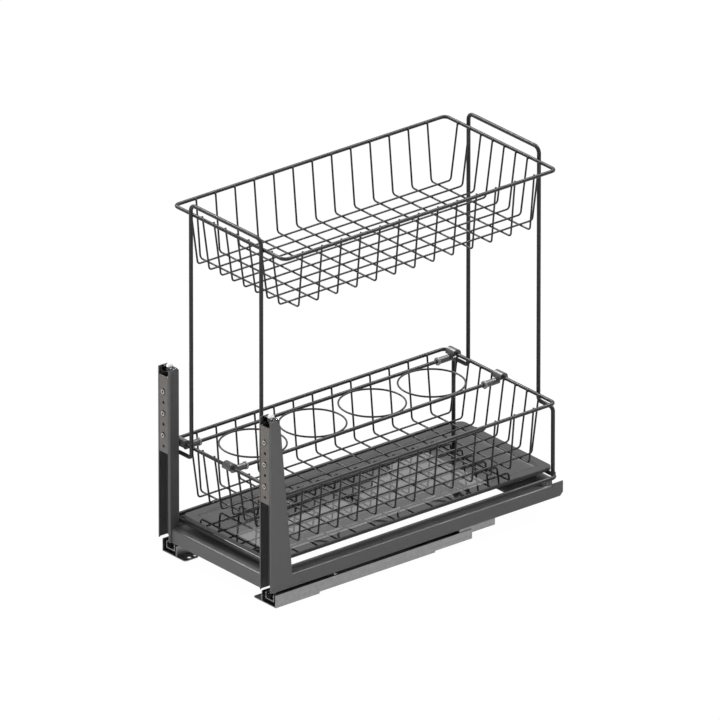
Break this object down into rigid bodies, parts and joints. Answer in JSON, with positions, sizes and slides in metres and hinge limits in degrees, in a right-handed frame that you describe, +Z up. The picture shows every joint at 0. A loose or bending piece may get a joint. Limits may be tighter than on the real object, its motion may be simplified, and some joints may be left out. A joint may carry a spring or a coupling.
{
  "type": "pull out cabinet basket",
  "caption": "Narrow pull-out cabinet organiser: wire baskets on bent-rod hoops over a tray, with a bottle holder, on a frame with ball-bearing runners and posts for the door.",
  "frame": {"origin": "on the cabinet floor under the runners, at the middle of the part's width and of its closed depth", "axes": "+Z up, -Y out of the cabinet towards the door, +X to the right of a person who faces the cabinet"},
  "size_m": [0.24, 0.5088, 0.5208],
  "materials": {
    "runner_zinc": "zinc plated",
    "cage_zinc": "zinc plated",
    "ball_steel": "polished",
    "fastener_steel": "bright",
    "bracket_steel": "satin",
    "stop_plastic": "matt",
    "saddle_plastic": "satin",
    "clip_plastic": "satin",
    "grey_paint": "satin powder coat",
    "grey_wire": "satin powder coat",
    "tray_grey": "satin powder coat",
    "smoked_glass": "smooth",
    "clear_plastic": "clear"
  },
  "bodies": {
    "cabinet_rails": {"cabinet_rail_left": "runner_zinc", "cabinet_rail_right": "runner_zinc", "rear_stop_left": "stop_plastic", "rear_stop_right": "stop_plastic", "soft_close_unit_left": "stop_plastic", "soft_close_unit_right": "stop_plastic"},
    "lower_cages": {"lower_ball_cage_left": "cage_zinc", "lower_ball_cage_right": "cage_zinc", "lower_balls_left": "ball_steel", "lower_balls_right": "ball_steel"},
    "middle_rails": {"middle_rail_left": "runner_zinc", "middle_rail_right": "runner_zinc"},
    "upper_cages": {"upper_ball_cage_left": "cage_zinc", "upper_ball_cage_right": "cage_zinc", "upper_balls_left": "ball_steel", "upper_balls_right": "ball_steel"},
    "carriage": {"drawer_rail_left": "runner_zinc", "drawer_rail_right": "runner_zinc", "runner_rivets": "fastener_steel", "catch_tabs": "fastener_steel", "side_frame_left": "grey_paint", "side_frame_right": "grey_paint", "post_channel_left": "grey_paint", "post_channel_right": "grey_paint", "bracket_screws_left": "fastener_steel", "bracket_screws_right": "fastener_steel", "post_cap_left": "clear_plastic", "post_cap_right": "clear_plastic", "front_beam": "grey_paint", "rear_plate": "grey_paint", "ring_saddles": "saddle_plastic", "saddle_washers": "fastener_steel", "base_ring": "grey_wire", "front_hoop": "grey_wire", "rear_hoop": "grey_wire", "upper_basket_rim": "grey_wire", "upper_cross_wires": "grey_wire", "upper_long_wires": "grey_wire", "lower_basket_rim": "grey_wire", "lower_cross_wires": "grey_wire", "lower_long_wires": "grey_wire", "tray_frame": "tray_grey", "tray_glass": "smoked_glass"},
    "door_bracket_left": {"door_bracket_left": "bracket_steel"},
    "door_bracket_right": {"door_bracket_right": "bracket_steel"},
    "bottle_holder": {"holder_rods": "grey_wire", "bottle_rings": "grey_wire", "holder_clip_front_side": "clip_plastic", "holder_clip_front_middle": "clip_plastic", "holder_clip_rear_side": "clip_plastic", "holder_clip_rear_middle": "clip_plastic"}
  },
  "joints": [
    {"name": "pull_out", "type": "slide", "parent": "cabinet_rails", "child": "carriage", "axis": [0, -1, 0], "range_m": [0, 0.36]},
    {"name": "lower_cage_slide", "type": "slide", "parent": "cabinet_rails", "child": "lower_cages", "axis": [0, -1, 0], "range_m": [0, 0.09]},
    {"name": "middle_rail_slide", "type": "slide", "parent": "cabinet_rails", "child": "middle_rails", "axis": [0, -1, 0], "range_m": [0, 0.18]},
    {"name": "upper_cage_slide", "type": "slide", "parent": "cabinet_rails", "child": "upper_cages", "axis": [0, -1, 0], "range_m": [0, 0.27]},
    {"name": "door_adjust_left", "type": "slide", "parent": "carriage", "child": "door_bracket_left", "axis": [0, 0, 1], "range_m": [-0.002, 0.002]},
    {"name": "door_adjust_right", "type": "slide", "parent": "carriage", "child": "door_bracket_right", "axis": [0, 0, 1], "range_m": [-0.002, 0.002]},
    {"name": "holder_lift", "type": "slide", "parent": "carriage", "child": "bottle_holder", "axis": [0, 0, 1], "range_m": [0, 0.06]}
  ],
  "couplings": [
    {"joint": "lower_cage_slide", "follows": "pull_out", "ratio": 0.25},
    {"joint": "middle_rail_slide", "follows": "pull_out", "ratio": 0.5},
    {"joint": "upper_cage_slide", "follows": "pull_out", "ratio": 0.75}
  ]
}
